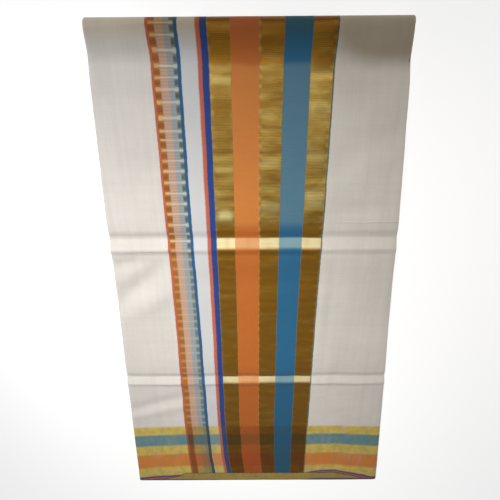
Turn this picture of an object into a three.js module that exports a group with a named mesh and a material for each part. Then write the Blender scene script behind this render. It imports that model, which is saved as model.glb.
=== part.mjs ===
// A cotton saree, folded flat for display: the wide end of the cloth lies on top, with its bands
// running from the far selvedge to the near fold, and the last quarter of its width is turned under.
// Millimetres, +Z up. +X lies along the cloth's length, and +Y runs from the far selvedge to the near
// fold. The origin is at the middle of the underside.
// Within the script v is the distance from the top layer's far selvedge, towards the near fold.

import * as THREE from 'three';

// ---- driving dimensions --------------------------------------------------------------------------

const SAREE_WIDTH = 1200; // selvedge to selvedge
const PANEL_DEPTH = 909; // the top layer, from its far selvedge to the outside of the near fold
const UNDERLAP = 25; // how far the second layer reaches past the top one's selvedge
const PILE = 7.2; // twelve layers of cotton pressed flat
const WALL = 1.2; // the layer that is modelled as cloth
const UNDERLAP_WALL = 1.0;
const GAP = 0.3; // between layers that lie on each other
const LAYERS_SHOWN = 6; // the folds that show at the edges of the hidden layers

// The folded sides are straight, and not quite square to the selvedge.
const LEFT_FAR = -276;
const LEFT_NEAR = -239;
const RIGHT_FAR = 276;
const RIGHT_NEAR = 211;

// The pressed creases, a quarter of the width apart, given by the middle of their raised strips.
const FIRST_CREASE = 272;
const SECOND_CREASE = 578;

const FOLD_RADIUS = PILE + 0.8; // the near fold is two piles thick, and a little slack
const FOLD_CENTRE = PANEL_DEPTH - FOLD_RADIUS;
const FOLD_STEPS = 8;
const TURNED_UNDER = SAREE_WIDTH - FOLD_CENTRE - Math.PI * FOLD_RADIUS;
const HIDDEN_SELVEDGE = FOLD_CENTRE - TURNED_UNDER; // where the turned-under quarter ends
const Y_SHIFT = (PANEL_DEPTH - UNDERLAP) / 2;

const CREAM = 0xd9d2c6;
const GOLD = 0xa5842f;
const SHADED_CREAM = 0xb9b1a4;

// ---- the lie of the top layer --------------------------------------------------------------------

// How high the pile is carried by the quarter that is turned under it.
const CARRIED = [
  { at: 420, height: 0 },
  { at: 490, height: 0.28 * PILE },
  { at: 555, height: 0.72 * PILE },
  { at: HIDDEN_SELVEDGE, height: PILE },
];

// A pressed crease: a strip that leans between a valley on its near side and a ridge on its far side.
// Distances are from the middle of the strip, towards the near fold.
const CREASE = [
  { at: -60, height: 0 },
  { at: -26, height: 0.3 },
  { at: -8, height: 2.4 },
  { at: 7, height: -2.0 },
  { at: 25, height: 0.7 },
  { at: 60, height: 0 },
];

// The dip behind the near fold's slack round, measured from the middle of the fold's round.
const FOLD_DIP = [
  { at: -110, height: 0 },
  { at: -64, height: -1.0 },
  { at: -36, height: -2.2 },
  { at: -6, height: 1.5 },
  { at: 0, height: 2 * FOLD_RADIUS - 2 * PILE },
];

// Soft folds: the middle, the heading of the fold's length in degrees, half sizes and height.
const SOFT_FOLDS = [
  { x: -206, v: 505, heading: 42, halfLength: 95, halfWidth: 26, height: -1.2 },
  { x: -236, v: 462, heading: 40, halfLength: 70, halfWidth: 26, height: 0.9 },
  { x: -212, v: 212, heading: 18, halfLength: 90, halfWidth: 18, height: -1.0 },
  { x: -214, v: 184, heading: 14, halfLength: 90, halfWidth: 18, height: 0.9 },
  { x: 168, v: 800, heading: 30, halfLength: 95, halfWidth: 34, height: -1.2 },
  { x: 180, v: 726, heading: 38, halfLength: 110, halfWidth: 32, height: 1.0 },
  { x: 205, v: 640, heading: 24, halfLength: 85, halfWidth: 28, height: -0.8 },
  { x: 205, v: 380, heading: 80, halfLength: 120, halfWidth: 26, height: 0.8 },
];

// The selvedge waves: how far the border is drawn in or let out at each x.
const EDGE_WAVE = [
  { at: -276, height: -18 },
  { at: -220, height: -10 },
  { at: -160, height: 0 },
  { at: 100, height: 0 },
  { at: 150, height: 9 },
  { at: 168, height: 11 },
  { at: 205, height: 1 },
  { at: 240, height: -10 },
  { at: 276, height: -19 },
];
const EDGE_LINES = 2; // the selvedge's own thin lines, past the border
const WAVE_REACH = 220; // how far into the cloth the wave is felt

// Straight lines between the rows of a table of { at, height }.
function along(table, at) {
  if (at <= table[0].at) return table[0].height;
  for (let i = 1; i < table.length; i += 1) {
    const [before, after] = [table[i - 1], table[i]];
    if (at <= after.at) {
      const share = (at - before.at) / (after.at - before.at);
      return before.height + share * (after.height - before.height);
    }
  }
  return table[table.length - 1].height;
}

function sideAt(far, near, v) {
  const share = Math.max(v, 0) / PANEL_DEPTH;
  return far + (near - far) * share;
}

const leftSide = (v) => sideAt(LEFT_FAR, LEFT_NEAR, v);
const rightSide = (v) => sideAt(RIGHT_FAR, RIGHT_NEAR, v);

function softFolds(x, v) {
  let height = 0;
  for (const fold of SOFT_FOLDS) {
    const heading = THREE.MathUtils.degToRad(fold.heading);
    const [dx, dv] = [x - fold.x, v - fold.v];
    const lengthwise = (dx * Math.cos(heading) + dv * Math.sin(heading)) / fold.halfLength;
    const crosswise = (dv * Math.cos(heading) - dx * Math.sin(heading)) / fold.halfWidth;
    height += fold.height * Math.exp(-(lengthwise ** 2 + crosswise ** 2));
  }
  return height;
}

// The height of the top layer's upper face.
function topHeight(x, v) {
  const creases = along(CREASE, v - FIRST_CREASE) + along(CREASE, v - SECOND_CREASE);
  const dip = along(FOLD_DIP, v - FOLD_CENTRE);
  return PILE + along(CARRIED, v) + creases + dip + softFolds(x, v);
}

// Where a row of the cloth really runs at x, near the waving selvedge.
function waved(x, v) {
  const felt = Math.max(0, 1 - Math.max(v, 0) / WAVE_REACH);
  return v + along(EDGE_WAVE, x) * felt;
}

// ---- rows and columns shared by every layer ------------------------------------------------------

// Rows from the far selvedge to the near fold, closest at the creases.
const OPEN_ROWS = [28, 58, 92, 124, 150, 182];
const MIDDLE_ROWS = [338, 378, 418, 455, 490];
const NEAR_ROWS = [HIDDEN_SELVEDGE, 650, 685, 720, 760, 800];
const offsetRows = (table, middle) => table.map((row) => middle + row.at);
const TOP_ROWS = [
  ...OPEN_ROWS,
  ...offsetRows(CREASE, FIRST_CREASE),
  ...MIDDLE_ROWS,
  ...offsetRows(CREASE.slice(0, -1), SECOND_CREASE),
  ...NEAR_ROWS,
  ...offsetRows(FOLD_DIP.slice(1), FOLD_CENTRE),
];
const UNDER_ROWS = [860, 800, 740, 680, HIDDEN_SELVEDGE + GAP];
const COLUMNS = 18; // steps across the flat of the cloth

// A place across a layer, a share of the way between its two sides, each with its own inset.
function across(v, share, leftInset, rightInset) {
  const [left, right] = [leftSide(v) + leftInset, rightSide(v) - rightInset];
  return left + (right - left) * share;
}

// ---- closed solids -------------------------------------------------------------------------------

function meshOf(name, points, triangles, color) {
  const geometry = new THREE.BufferGeometry();
  const positions = points.flatMap((point) => point.toArray());
  geometry.setAttribute('position', new THREE.Float32BufferAttribute(positions, 3));
  geometry.setIndex(triangles);
  geometry.computeVertexNormals();
  const mesh = new THREE.Mesh(
    geometry,
    new THREE.MeshStandardMaterial({ color, roughness: 0.85, metalness: 0 }),
  );
  mesh.name = name;
  return mesh;
}

const addQuad = (triangles, a, b, c, d) => triangles.push(a, b, c, a, c, d);

// A closed wall between two grids of points, outer and inner, each an array of rows.
function wallBetween(name, outer, inner, color) {
  const [lastRow, lastCol] = [outer.length - 1, outer[0].length - 1];
  const triangles = [];
  const out = (row, col) => row * (lastCol + 1) + col;
  const into = (row, col) => (lastRow + 1) * (lastCol + 1) + out(row, col);
  for (let row = 0; row < lastRow; row += 1) {
    for (let col = 0; col < lastCol; col += 1) {
      const [here, next] = [col, col + 1];
      addQuad(triangles, out(row, here), out(row, next), out(row + 1, next), out(row + 1, here));
      addQuad(triangles, into(row, here), into(row + 1, here), into(row + 1, next), into(row, next));
    }
    addQuad(triangles, out(row, 0), out(row + 1, 0), into(row + 1, 0), into(row, 0));
    const rightRim = [out(row, lastCol), into(row, lastCol), into(row + 1, lastCol), out(row + 1, lastCol)];
    addQuad(triangles, ...rightRim);
  }
  for (let col = 0; col < lastCol; col += 1) {
    addQuad(triangles, out(0, col + 1), out(0, col), into(0, col), into(0, col + 1));
    const nearRim = [out(lastRow, col), out(lastRow, col + 1), into(lastRow, col + 1), into(lastRow, col)];
    addQuad(triangles, ...nearRim);
  }
  return meshOf(name, [...outer.flat(), ...inner.flat()], triangles, color);
}

// ---- the top layer -------------------------------------------------------------------------------

// The cloth turns down over the left side of the pile, and into the pile at the right. An inset is
// measured in from the side, and a depth from the cloth's outer face.
const FLANGE = 6.7;
const FLAT_INSET = 2.8;
const LEFT_TURN = [
  { inset: 0.3, depth: FLANGE, innerInset: 1.5, innerDepth: FLANGE },
  { inset: 0, depth: 3.2, innerInset: 1.2, innerDepth: 3.2 },
  { inset: 0.7, depth: 0.9, innerInset: 1.6, innerDepth: 1.8 },
  { inset: 2.6, depth: 0, innerInset: FLAT_INSET, innerDepth: WALL },
];
const RIGHT_TURN = [
  { inset: 2.6, depth: 0, innerInset: FLAT_INSET, innerDepth: WALL },
  { inset: 0.7, depth: 0.5, innerInset: 1.6, innerDepth: 1.4 },
  { inset: 0, depth: 1.5, innerInset: 1.2, innerDepth: 1.5 },
];

// The places across the cloth at one row, as { x, depth }, on its outer or inner face.
function crossSection(v, isOuter) {
  const turned = (turn, side) => ({
    x: side(isOuter ? turn.inset : turn.innerInset),
    depth: isOuter ? turn.depth : turn.innerDepth,
  });
  const section = LEFT_TURN.map((turn) => turned(turn, (inset) => leftSide(v) + inset));
  for (let step = 1; step < COLUMNS; step += 1) {
    const x = across(v, step / COLUMNS, FLAT_INSET, FLAT_INSET);
    section.push({ x, depth: isOuter ? 0 : WALL });
  }
  section.push(...RIGHT_TURN.map((turn) => turned(turn, (inset) => rightSide(v) - inset)));
  return section;
}

// A point on the open stretch. The turned side follows the relief of the top less and less, and
// ends level with the pile's own underside.
function onTop(x, v, y, depth) {
  const top = topHeight(x, v);
  if (depth <= 2 * WALL) return new THREE.Vector3(x, y - Y_SHIFT, top - depth);
  const foot = along(CARRIED, v) + PILE - FLANGE;
  const start = top - 2 * WALL;
  const share = (depth - 2 * WALL) / (FLANGE - 2 * WALL);
  return new THREE.Vector3(x, y - Y_SHIFT, start + (foot - start) * share);
}

function onFold(x, angle, depth) {
  const radius = FOLD_RADIUS - depth;
  const y = FOLD_CENTRE - Y_SHIFT + radius * Math.sin(angle);
  return new THREE.Vector3(x, y, FOLD_RADIUS + radius * Math.cos(angle));
}

function palluPanel() {
  const [outer, inner] = [true, false].map((isOuter) => {
    const selvedge = crossSection(0, isOuter).map(({ x, depth }) => {
      const y = waved(x, 0) - EDGE_LINES;
      return onTop(x, y, y, depth);
    });
    const open = TOP_ROWS.map((v) =>
      crossSection(v, isOuter).map(({ x, depth }) => onTop(x, waved(x, v), waved(x, v), depth)),
    );
    const fold = [];
    for (let step = 1; step < FOLD_STEPS; step += 1) {
      const angle = (Math.PI * step) / FOLD_STEPS;
      fold.push(crossSection(FOLD_CENTRE, isOuter).map(({ x, depth }) => onFold(x, angle, depth)));
    }
    const under = [FOLD_CENTRE, ...UNDER_ROWS].map((v) =>
      crossSection(v, isOuter).map(({ x, depth }) => new THREE.Vector3(x, v - Y_SHIFT, depth)),
    );
    return [selvedge, ...open, ...fold, ...under];
  });
  return wallBetween('pallu_panel', outer, inner, CREAM);
}

// ---- the second layer, where it shows past the selvedge ------------------------------------------

const UNDERLAP_ROWS = [-UNDERLAP, -12, 3, 28, 52];
const UNDERLAP_INSET = 3.9;

function borderUnderlap() {
  const [outer, inner] = [0, UNDERLAP_WALL].map((depth) =>
    UNDERLAP_ROWS.map((v) => {
      const row = [];
      for (let step = 0; step <= COLUMNS; step += 1) {
        const x = across(v, step / COLUMNS, UNDERLAP_INSET, UNDERLAP_INSET);
        row.push(new THREE.Vector3(x, v - Y_SHIFT, topHeight(x, v) - WALL - GAP - depth));
      }
      return row;
    }),
  );
  return wallBetween('border_underlap', outer, inner, GOLD);
}

// ---- the hidden layers ---------------------------------------------------------------------------

// One solid, built as rings stacked from the underside to the top. Every other ring stands back, as
// the groove between two folds does.
const RINGS = 2 * LAYERS_SHOWN;
const GROOVE = 0.9;
const LEFT_CLEARANCE = 2.7; // inside the turned-down cloth
const RIGHT_CLEARANCE = 0.5;
const LIP_CLEARANCE = 2.6; // beside the cloth that turns in at the right
const HIDDEN_FAR = -22;
const TERRACE = 1.1; // from one hidden selvedge to the next
const TERRACES = 4; // selvedges that step back before the next one reaches out again
const UNDERLAP_END = 55; // where the hidden layers rise behind the second layer's end
const STEP_RUN = 4;
const UNDER_CLEARANCE = 2;
const UNDER_EDGE = HIDDEN_SELVEDGE - STEP_RUN - UNDER_CLEARANCE; // and over the turned-under end
const FACET_SLACK = 0.5; // the fold's flats cut inside its true round, and its lip reaches in
const HIDDEN_RADIUS = FOLD_RADIUS - WALL - GAP - FACET_SLACK; // of the near end, inside the fold

function hiddenRows() {
  const open = TOP_ROWS.filter((v) => v > UNDERLAP_END + STEP_RUN && v !== HIDDEN_SELVEDGE);
  const rows = [HIDDEN_FAR, -8, 12, 30, UNDERLAP_END, UNDERLAP_END + STEP_RUN, ...open];
  return [...rows, UNDER_EDGE, UNDER_EDGE + STEP_RUN].sort((a, b) => a - b);
}

// The hidden layers' upper and lower faces.
function hiddenTop(x, v) {
  const secondLayer = v <= UNDERLAP_END ? UNDERLAP_WALL + GAP : 0;
  return topHeight(x, v) - WALL - GAP - secondLayer;
}

const hiddenBottom = (v) => (v <= UNDER_EDGE ? 0 : WALL + GAP);

function hiddenPoint(rows, row, col, ring) {
  const v = rows[row];
  const groove = ring % 2 === 0 ? GROOVE : 0;
  const besideLip = ring === RINGS || (ring === 0 && v > UNDER_EDGE);
  const leftInset = LEFT_CLEARANCE + groove;
  const rightInset = besideLip ? RIGHT_CLEARANCE + LIP_CLEARANCE : RIGHT_CLEARANCE + groove;
  const x = across(v, col / COLUMNS, leftInset, rightInset);
  const place = v > UNDERLAP_END + STEP_RUN ? waved(x, v) : v;
  const [low, high] = [hiddenBottom(v), hiddenTop(x, place)];
  const z = low + ((high - low) * ring) / RINGS;
  let y = place;
  if (row === 0) y += groove + (ring % TERRACES) * TERRACE;
  if (row === rows.length - 1) {
    y += Math.sqrt(Math.max(0, HIDDEN_RADIUS ** 2 - (z - FOLD_RADIUS) ** 2)) - groove;
  }
  return new THREE.Vector3(x, y - Y_SHIFT, z);
}

function foldedLayers() {
  const rows = hiddenRows();
  const lastRow = rows.length - 1;
  // The edge of the grid of rows and columns, anticlockwise from above.
  const rim = [];
  for (let col = 0; col < COLUMNS; col += 1) rim.push([0, col]);
  for (let row = 0; row < lastRow; row += 1) rim.push([row, COLUMNS]);
  for (let col = COLUMNS; col > 0; col -= 1) rim.push([lastRow, col]);
  for (let row = lastRow; row > 0; row -= 1) rim.push([row, 0]);

  const points = [];
  for (let ring = 0; ring <= RINGS; ring += 1) {
    for (const [row, col] of rim) points.push(hiddenPoint(rows, row, col, ring));
  }
  const triangles = [];
  for (let ring = 0; ring < RINGS; ring += 1) {
    const [low, high] = [ring * rim.length, (ring + 1) * rim.length];
    for (let i = 0; i < rim.length; i += 1) {
      const next = (i + 1) % rim.length;
      addQuad(triangles, low + i, low + next, high + next, high + i);
    }
  }

  // The top is a grid that the last ring surrounds.
  const rimPlace = new Map(rim.map(([row, col], i) => [`${row},${col}`, i]));
  const topIndex = new Map([...rimPlace].map(([key, i]) => [key, RINGS * rim.length + i]));
  for (let row = 1; row < lastRow; row += 1) {
    for (let col = 1; col < COLUMNS; col += 1) {
      topIndex.set(`${row},${col}`, points.length);
      points.push(hiddenPoint(rows, row, col, RINGS));
    }
  }
  const top = (row, col) => topIndex.get(`${row},${col}`);
  for (let row = 0; row < lastRow; row += 1) {
    for (let col = 0; col < COLUMNS; col += 1) {
      addQuad(triangles, top(row, col), top(row, col + 1), top(row + 1, col + 1), top(row + 1, col));
    }
  }

  // The underside is strips from side to side, closed by a fan at each end.
  const under = (row, col) => rimPlace.get(`${row},${col}`);
  for (let col = 0; col < COLUMNS; col += 1) {
    triangles.push(under(1, 0), under(0, col + 1), under(0, col));
    triangles.push(under(lastRow - 1, 0), under(lastRow, col), under(lastRow, col + 1));
  }
  triangles.push(under(1, 0), under(1, COLUMNS), under(0, COLUMNS));
  triangles.push(under(lastRow - 1, 0), under(lastRow, COLUMNS), under(lastRow - 1, COLUMNS));
  for (let row = 1; row < lastRow - 1; row += 1) {
    const strip = [under(row, 0), under(row + 1, 0), under(row + 1, COLUMNS), under(row, COLUMNS)];
    addQuad(triangles, ...strip);
  }
  return meshOf('folded_layers', points, triangles, SHADED_CREAM);
}

const saree = new THREE.Group();
saree.add(palluPanel(), borderUnderlap(), foldedLayers());

export default saree;
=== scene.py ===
"""A folded cotton saree: its top stretch with the wide bands, the second layer's border and the pile.

Sizes are millimetres until a point is made, and then metres, in the frame's own axes: +X along the
cloth, +Y from the far selvedge to the near fold, +Z up. v is the distance from the far selvedge.
"""

import math

import bmesh
import bpy
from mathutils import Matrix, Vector, noise


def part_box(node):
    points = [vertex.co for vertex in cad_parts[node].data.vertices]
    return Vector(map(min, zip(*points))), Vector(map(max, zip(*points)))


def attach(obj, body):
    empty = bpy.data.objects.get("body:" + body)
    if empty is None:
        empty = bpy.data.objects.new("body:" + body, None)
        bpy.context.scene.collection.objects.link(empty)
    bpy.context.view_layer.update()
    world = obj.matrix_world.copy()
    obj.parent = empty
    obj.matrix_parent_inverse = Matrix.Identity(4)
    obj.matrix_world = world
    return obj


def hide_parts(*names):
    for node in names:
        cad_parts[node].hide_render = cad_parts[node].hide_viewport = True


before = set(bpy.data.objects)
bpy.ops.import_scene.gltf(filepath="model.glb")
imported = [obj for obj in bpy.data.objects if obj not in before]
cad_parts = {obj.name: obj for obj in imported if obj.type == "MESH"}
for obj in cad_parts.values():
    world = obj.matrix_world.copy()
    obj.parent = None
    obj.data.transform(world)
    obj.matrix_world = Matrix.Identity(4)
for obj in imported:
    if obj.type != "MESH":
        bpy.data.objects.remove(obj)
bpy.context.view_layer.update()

MM = 0.001  # in metres

# ---- sizes of the folded cloth -------------------------------------------------------------------

PANEL_LOW, PANEL_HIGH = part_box("pallu_panel")
UNDERLAP_LOW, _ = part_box("border_underlap")

SAREE_WIDTH = 1200
UNDERLAP = 25
FAR_Y = UNDERLAP_LOW[1] / MM + UNDERLAP  # where v is 0
PANEL_DEPTH = PANEL_HIGH[1] / MM - FAR_Y
LEFT_FAR = PANEL_LOW[0] / MM
RIGHT_FAR = PANEL_HIGH[0] / MM
LEFT_NEAR = -239
RIGHT_NEAR = 211

LAYERS = 12
PITCH = 0.6  # from one pressed layer to the next
PILE = LAYERS * PITCH
CLOTH = 0.42  # thickness of the cotton itself
HALF_PITCH = PITCH / 2
LOWEST = HALF_PITCH  # the middle of the lowest layer, just clear of the floor

FOLD_SLACK = 4  # the near fold is slack, so it bulges
FOLD_RADIUS = PILE + FOLD_SLACK
FOLD_CENTRE = PANEL_DEPTH - FOLD_RADIUS
FOLD_ARC = math.pi * FOLD_RADIUS
FOLD_END = FOLD_CENTRE + FOLD_ARC
FOLD_BULGE = 2 * FOLD_SLACK
TURNED_UNDER = SAREE_WIDTH - FOLD_END
HIDDEN_SELVEDGE = FOLD_CENTRE - TURNED_UNDER

# The pressed creases: (place, size, lean, seed). The far one is narrower and stands up less.
FIRST_CREASE = 277
SECOND_CREASE = 577
CREASES = [
    (FIRST_CREASE, 0.78, 0.85, 1),
    (SECOND_CREASE, 1, 1, 2),
]
FACET = (-10.5, 10)  # the part of a crease that leans towards the near fold

# Tables of (place, value): stations with eased steps between them. Places are v unless a line here
# says otherwise.
CARRIED = [(400, 0), (490, 0.28 * PILE), (555, 0.72 * PILE), (HIDDEN_SELVEDGE, PILE)]
CLIMB = [(560, 0), (HIDDEN_SELVEDGE - 2, 1)]  # how much of that the pile's underside follows
# By the distance from a crease's middle:
CREASE = [(-60, 0), (-22, 0.9), (FACET[0], 3.9), (FACET[1], -2.0), (26, 1.5), (42, 1.9), (150, 0)]
CREASE_ACROSS = [(-100, 1), (160, 0.8)]  # by x: the creases are pressed harder at the left
# From the centre of the near fold:
FOLD_DIP = [(-115, 0), (-75, -0.9), (-46, -2.8), (0, FOLD_BULGE)]
LOOP = [(-34, 0), (0, FOLD_BULGE)]  # the pile's underside lifts where the fold opens into a loop
PINCH = [(-60, 0), (0, 2.8)]  # the sides draw in where the near fold bulges
CRUMPLE_FADE = [(-60, 1), (0, 0)]
SHOULDER_FADE = [(-70, 1), (-10, 0.25)]
PUCKER_FADE = [(-30, 1), (0, 0)]

# The rounded sides: (width, drop).
RIGHT_SHOULDER = (11, 1.7)
LEFT_SHOULDER = (7, 0.7)

SLACK = 3  # how far the hidden layers sink under the top one, away from the sides
SLACK_INSIDE = [(3, 0), (22, 1)]  # by the distance from the nearer side
SLACK_ALONG = [(20, 0), (70, 1), (840, 1), (890, 0)]  # by v

# Along the selvedge, by x: how far its rim is let out or drawn in, how far the stripes beside it
# follow, how much cloth a small pleat takes up there, and how far the second layer's edge is drawn in.
EDGE_WAVE = [
    (-276, -24), (-225, -22), (-195, -16), (-160, 0), (100, 0),
    (150, -2), (170, -1), (205, -8), (240, -20), (276, -24),
]
STRIPE_WAVE = [(-276, -12), (-215, -5), (-156, 0), (110, 0), (150, 2), (170, 3), (215, -4), (276, -12)]
EDGE_TUCK = [(100, 0), (125, 8), (150, 12), (168, 13), (205, 10), (240, 4), (266, 0)]
SECOND_EDGE = [(-240, -34), (90, -38), (140, -32), (215, -32), (250, -34)]
WAVE_REACH = 220
EDGE_BAND = 16  # the cloth width hidden where the edge curls under itself
# The border draws the bands beside it to the right: by x, and how that dies away from the selvedge.
DRAWN = [(-250, 0), (-140, 6), (-74, 10), (5, 9), (80, 1)]
DRAWN_END = [(70, 1), (100, 0)]
DRAWN_REACH = [(0, 1), (55, 0.42), (170, 0)]
# By the distance from the selvedge:
TUCK_REACH = [(12, 1), (26, 0)]
PLEAT_RISE = [(4, 0), (14, 1)]
PLEAT_FALL = [(14, 1), (34, 0)]
CURL_FADE = [(0, 1), (34, 0)]
RIM_ROLL = [(0, 1), (3.2, 0)]  # the rim rolls over, and its stripes crowd on to the roll, which shows the painted shadow line at the selvedge

# Soft folds of the top layer: (x, v, heading in degrees, half length, half width, height).
SOFT_FOLDS = [
    (-232, 538, 12, 50, 15, -4.2),
    (-208, 500, 41, 72, 17, -4.3),
    (-185, 462, 38, 60, 16, 1.9),
    (-225, 440, 34, 60, 18, 1.2),
    (-210, 213, 17, 78, 13, -2.8),
    (-214, 190, 15, 78, 12, 1.9),
    (-232, 700, 75, 90, 22, 0.8),
    (165, 846, 6, 85, 15, -2.6),
    (-160, 860, 4, 70, 16, -1.2),
    (150, 815, 20, 70, 24, -1.2),
    (182, 742, 36, 95, 22, -1.7),
    (160, 695, 30, 80, 24, 1.7),
    (176, 636, 8, 60, 14, -1.6),
    (117, 430, 88, 130, 10, 1.1),
    (122, 760, 86, 90, 9, 0.8),
    (148, 250, 80, 70, 12, -1.0),
    (190, 400, 80, 120, 22, -1.0),
    (176, 180, 75, 90, 20, 0.8),
]

# How uneven the forms are: (how much, over what length, seed). Lengths are millimetres, but layers
# for "layer edge" and folds for "right step".
FORM_NOISE = {
    "crease place": (1.2, 120, 0),
    "crease height": (0.25, 60, 0),
    "fold dip": (0.12, 90, 3),
    "crumple": (0.5, 70, 11),
    "fine crumple": (0.2, 27, 12),
    "zari pucker": (1.6, 23, 15),
    "layer edge": (4.2, 1.7, 5),
    "edge sway": (1.4, 130, 0),
    "left sway": (0.8, 150, 20),
    "right step": (0.9, 1.3, 6),
    "right sway": (0.9, 140, 40),
}
SEED_STEP = 7.3  # how far apart the seeds lie in the noise
SEED_START = 0.5
HEIGHT_ROW = 40  # the row of the noise that crease heights are read from


def eased(table, place):
    """The table's value at a place, with an eased step from each station to the next."""
    if place <= table[0][0]:
        return table[0][1]
    for (start, low), (end, high) in zip(table, table[1:]):
        if place <= end:
            share = (place - start) / (end - start)
            return low + (high - low) * share * share * (3 - 2 * share)
    return table[-1][1]


def straight(table, place):
    """The table's value at a place, in straight lines."""
    if place <= table[0][0]:
        return table[0][1]
    for (start, low), (end, high) in zip(table, table[1:]):
        if place <= end:
            return low + (high - low) * (place - start) / (end - start)
    return table[-1][1]


def wander(kind, x, y=0, more_seed=0):
    """Smooth unevenness of that kind, to either side of 0."""
    amount, size, seed = FORM_NOISE[kind]
    return amount * noise.noise(Vector((x / size, y / size, SEED_STEP * (seed + more_seed) + SEED_START)))


def left_side(v):
    return LEFT_FAR + (LEFT_NEAR - LEFT_FAR) * max(v, 0) / PANEL_DEPTH + eased(PINCH, v - FOLD_CENTRE)


def right_side(v):
    return RIGHT_FAR + (RIGHT_NEAR - RIGHT_FAR) * max(v, 0) / PANEL_DEPTH - eased(PINCH, v - FOLD_CENTRE)


def across(v, share, left_inset, right_inset):
    left = left_side(v) + left_inset
    return left + (right_side(v) - right_inset - left) * share


def station_of(run):
    """The v of a run that goes over the top, round the near fold and back underneath."""
    if run > FOLD_END:
        return FOLD_CENTRE + FOLD_END - run
    return min(run, FOLD_CENTRE)


def soft_folds(x, v):
    height = 0
    for fold_x, fold_v, heading, half_length, half_width, rise in SOFT_FOLDS:
        turn = math.radians(heading)
        dx, dv = x - fold_x, v - fold_v
        lengthwise = (dx * math.cos(turn) + dv * math.sin(turn)) / half_length
        crosswise = (dv * math.cos(turn) - dx * math.sin(turn)) / half_width
        height += rise * math.exp(-(lengthwise**2 + crosswise**2))
    return height


def pressed_crease(x, v, middle, size, lean, seed):
    """A crease that wanders a little, and stands up more in some places than in others."""
    place = (v - middle - wander("crease place", x, 0, seed)) / size
    height = straight(CREASE, place) if FACET[0] < place < FACET[1] else eased(CREASE, place)
    return lean * eased(CREASE_ACROSS, x) * height * (1 + wander("crease height", x, HEIGHT_ROW, seed))


def shoulder(inside, width, drop):
    """How far a side has rounded down, that far inside it."""
    return drop * max(0.0, 1 - inside / width) ** 2


def shoulders(x, v):
    """The pile's sides round down, less so at the near fold."""
    down = shoulder(right_side(v) - x, *RIGHT_SHOULDER) + shoulder(x - left_side(v), *LEFT_SHOULDER)
    return -down * eased(SHOULDER_FADE, v - FOLD_CENTRE)


def top_height(x, v):
    """The height of the top layer's upper face."""
    from_fold = v - FOLD_CENTRE
    creases = sum(pressed_crease(x, v, *crease) for crease in CREASES)
    dip = eased(FOLD_DIP, from_fold) * (1 + wander("fold dip", x))
    crumple = wander("crumple", x, v) + wander("fine crumple", x, v)
    relief = creases + soft_folds(x, v) + crumple * eased(CRUMPLE_FADE, from_fold)
    return PILE + eased(CARRIED, v) + relief + dip + shoulders(x, v)


def pile_base(v):
    """The height of the pile's underside, where it climbs on to the turned-under quarter, and where
    it opens into the loop of the near fold."""
    return eased(CARRIED, v) * eased(CLIMB, v) + eased(LOOP, v - FOLD_CENTRE)


def hidden_slack(x, v):
    """How far a hidden layer has sunk under the top one, so that it clears the top one's folds."""
    inside = min(x - left_side(v), right_side(v) - x)
    return SLACK * eased(SLACK_INSIDE, inside) * eased(SLACK_ALONG, v)


def lay(x, depth, run, sunk=0.0):
    """The point and the cloth's own width coordinate, for a depth under the pile's upper face and a run
    from the far selvedge over the top, round the near fold and back underneath."""
    if run <= FOLD_CENTRE:
        base = pile_base(run)
        z = base + (1 - depth / PILE) * (top_height(x, run) - sunk - base)
        return Vector((x, run + FAR_Y, z)) * MM, run
    radius = FOLD_RADIUS - depth
    if run < FOLD_END:
        angle = (run - FOLD_CENTRE) / FOLD_RADIUS
        y = FOLD_CENTRE + radius * math.sin(angle)
        z = FOLD_RADIUS + radius * math.cos(angle)
        return Vector((x, y + FAR_Y, z)) * MM, FOLD_CENTRE + angle * radius
    back = run - FOLD_END
    return Vector((x, FOLD_CENTRE - back + FAR_Y, depth)) * MM, FOLD_CENTRE + math.pi * radius + back


# ---- meshes --------------------------------------------------------------------------------------

GRID_HALF = 0.5  # half the side of a new grid, before its points are placed


def spaced(zones):
    """Stations for a table of (start, end, step), with the last end included."""
    stations = []
    for start, end, step in zones:
        count = max(1, round((end - start) / step))
        stations += [start + (end - start) * i / count for i in range(count)]
    return stations + [zones[-1][1]]


def shares(count):
    """Even shares from 0 to 1, in that many steps."""
    return [step / count for step in range(count + 1)]


def lay_grid(bm, columns, rows, place, threads):
    """Adds a grid whose vertices go where place(column, row) says. place gives the point, and the
    cloth's own length and width coordinates, which are kept in threads."""
    last_column, last_row = len(columns) - 1, len(rows) - 1
    made = bmesh.ops.create_grid(bm, x_segments=last_column, y_segments=last_row, size=GRID_HALF)
    for vert in made["verts"]:
        column = columns[round((vert.co.x + GRID_HALF) * last_column)]
        row = rows[round((vert.co.y + GRID_HALF) * last_row)]
        vert.co, length, width = place(column, row)
        threads[vert] = (length * MM, width * MM)


def add_object(name, data):
    made = bpy.data.objects.new(name, data)
    bpy.context.scene.collection.objects.link(made)
    return made


def woven_sheet(name, grids, material):
    """A sheet of cloth from one or more grids of (columns, rows, place), with a UV map in metres."""
    bm = bmesh.new()
    cloth_map = bm.loops.layers.uv.new("cloth")
    threads = {}
    for columns, rows, place in grids:
        lay_grid(bm, columns, rows, place, threads)
    for face in bm.faces:
        face.smooth = True
        for loop in face.loops:
            loop[cloth_map].uv = threads[loop.vert]
    mesh = bpy.data.meshes.new(name)
    bm.to_mesh(mesh)
    bm.free()
    sheet = add_object(name, mesh)
    mesh.materials.append(material)
    wall = sheet.modifiers.new("cloth thickness", "SOLIDIFY")
    wall.thickness = CLOTH * MM
    wall.offset = 0
    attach(sheet, "root")
    return sheet


# ---- materials -----------------------------------------------------------------------------------

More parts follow.
